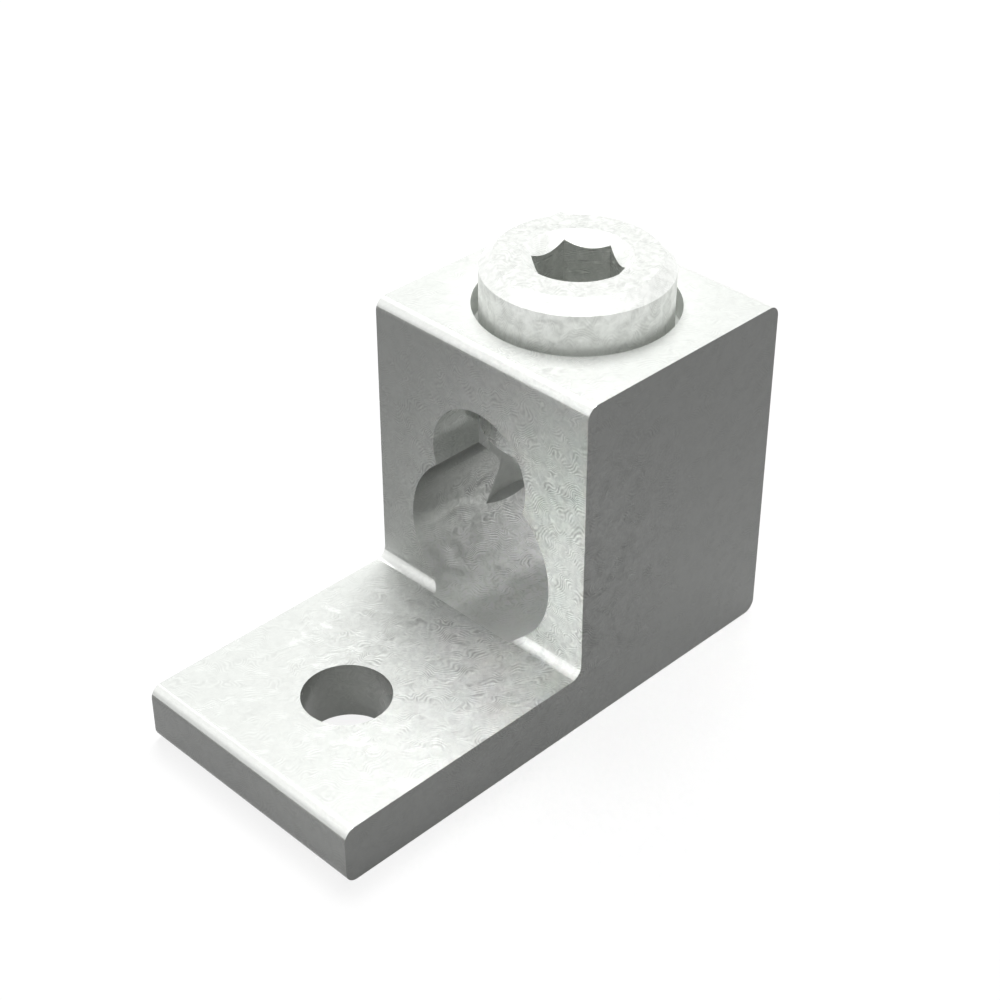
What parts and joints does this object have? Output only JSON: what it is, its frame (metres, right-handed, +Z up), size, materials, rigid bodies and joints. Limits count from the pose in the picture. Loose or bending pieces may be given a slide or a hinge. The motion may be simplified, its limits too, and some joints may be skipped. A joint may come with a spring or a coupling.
{
  "type": "mechanical lug",
  "caption": "Aluminium wire lug: a flat tang with a stud hole, and a block with a keyhole wire bore clamped from above by a socket set screw",
  "frame": {"origin": "on the axis of the stud hole, at the underside of the tang, which is the face that is bolted down", "axes": "+X from the stud hole along the lug to the wire block, +Y across the width, +Z up, from the bolted face towards the set screw"},
  "size_m": [0.0571, 0.028, 0.0419],
  "materials": {
    "plated_body": "satin",
    "plated_screw": "satin"
  },
  "bodies": {
    "lug": {"lug_body": "plated_body"},
    "screw": {"set_screw": "plated_screw"}
  },
  "joints": [
    {"name": "screw_advance", "type": "slide", "parent": "lug", "child": "screw", "axis": [0, 0, -1], "range_m": [-0.00635, 0.0127]}
  ]
}
